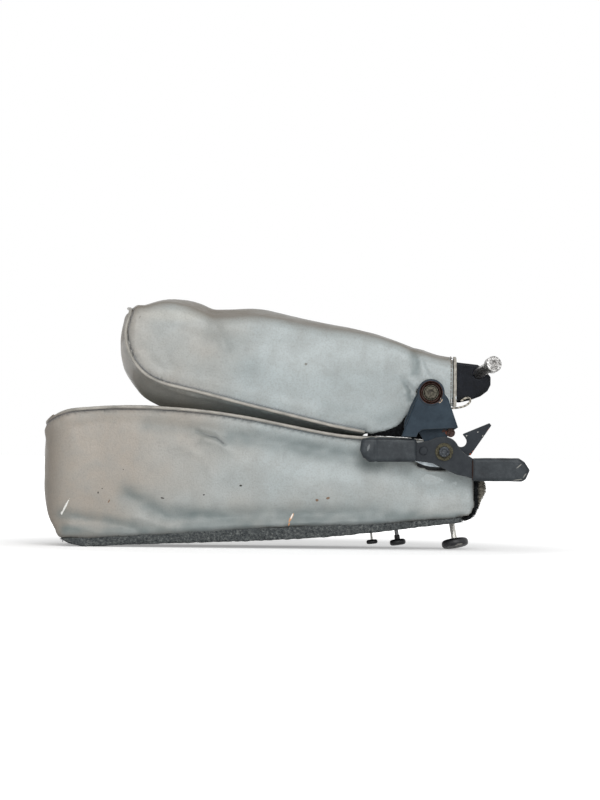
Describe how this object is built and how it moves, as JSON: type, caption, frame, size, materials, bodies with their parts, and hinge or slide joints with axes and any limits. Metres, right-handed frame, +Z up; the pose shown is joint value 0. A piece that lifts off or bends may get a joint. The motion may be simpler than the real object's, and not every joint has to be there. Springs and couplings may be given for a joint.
{
  "type": "folding armrest pad set",
  "caption": "Leather armrest pads hinged face to face by a pressed steel bracket, with a cranked lever, catch hook, thumb screws and a tilted bolt",
  "frame": {"origin": "on the floor, under the middle of the assembly as it stands in the picture", "axes": "+X from the noses to the hinge end along the pads, +Z up, hardware on the -Y side"},
  "size_m": [0.389, 0.1106, 0.1986],
  "materials": {
    "leather_grey": "semi-matte, creased",
    "piping_cream": "satin",
    "carpet_charcoal": "matte pile",
    "foam_ochre": "matte",
    "plywood": "raw",
    "frame_black": "satin",
    "bracket_blue_grey": "satin, chipped",
    "lever_dark": "satin, chipped to rust",
    "fitting_black": "gloss",
    "steel_rusty": "rusty",
    "steel_worn": "worn",
    "knob_black": "matte",
    "tab_beige": "matte"
  },
  "bodies": {
    "lower_pad": {"lower_foam": "foam_ochre", "lower_side_cover": "leather_grey", "lower_face_panel": "leather_grey", "lower_piping": "piping_cream", "base_board": "plywood", "base_carpet": "carpet_charcoal", "rear_carpet": "carpet_charcoal", "base_screws": "steel_worn", "lower_frame": "frame_black", "lower_scutcheon": "steel_worn", "lower_bush": "steel_worn", "lower_bolt": "steel_worn", "lower_washer": "steel_worn", "insert_small": "steel_worn", "insert_medium": "steel_worn", "insert_large": "steel_worn"},
    "bracket": {"hinge_bracket": "bracket_blue_grey", "stop_pin": "steel_rusty", "boss_spring": "steel_rusty"},
    "upper_pad": {"upper_foam": "foam_ochre", "upper_side_cover": "leather_grey", "upper_face_panel": "leather_grey", "upper_piping": "piping_cream", "upper_frame": "frame_black", "upper_bush": "steel_worn", "upper_spacer": "steel_worn", "upper_bolt": "steel_worn", "upper_washer": "steel_worn", "end_fitting": "fitting_black", "fitting_pin": "steel_worn", "chair_bolt": "steel_worn", "collar_binding": "piping_cream", "pull_tab": "tab_beige", "throat_felt": "carpet_charcoal"},
    "lever": {"lever_plate": "lever_dark", "front_grip": "lever_dark", "rear_grip": "lever_dark", "lever_rivet": "steel_worn", "lever_sleeve": "steel_worn", "catch_hook": "lever_dark"},
    "small_screw": {"screw_small": "steel_worn", "knob_small": "knob_black"},
    "medium_screw": {"screw_medium": "steel_worn", "knob_medium": "knob_black"},
    "large_screw": {"screw_large": "steel_worn", "knob_large": "knob_black"}
  },
  "joints": [
    {"name": "bracket_swing", "type": "hinge", "parent": "lower_pad", "child": "bracket", "pos_m": [0.1251, -0.0415, 0.079], "axis": [0, 1, 0], "range_deg": [0, 40]},
    {"name": "upper_pad_tilt", "type": "hinge", "parent": "bracket", "child": "upper_pad", "pos_m": [0.114, -0.0415, 0.1262], "axis": [0, 1, 0], "range_deg": [0, 28]},
    {"name": "lever_turn", "type": "hinge", "parent": "lower_pad", "child": "lever", "pos_m": [0.1251, -0.042, 0.079], "axis": [0, 1, 0], "range_deg": [0, 9], "stiffness_Nm_per_rad": 0.6, "springref_deg": -20.05},
    {"name": "small_screw_turn", "type": "hinge", "parent": "lower_pad", "child": "small_screw", "pos_m": [0.0682, 0.006, 0.01357], "axis": [-0.1043, 0.0698, 0.9921], "continuous": true},
    {"name": "medium_screw_turn", "type": "hinge", "parent": "lower_pad", "child": "medium_screw", "pos_m": [0.0884, 0.006, 0.01597], "axis": [-0.1318, 0.0872, 0.9874], "continuous": true},
    {"name": "large_screw_turn", "type": "hinge", "parent": "lower_pad", "child": "large_screw", "pos_m": [0.1332, 0.006, 0.02155], "axis": [-0.1647, 0.1564, 0.9739], "continuous": true}
  ]
}
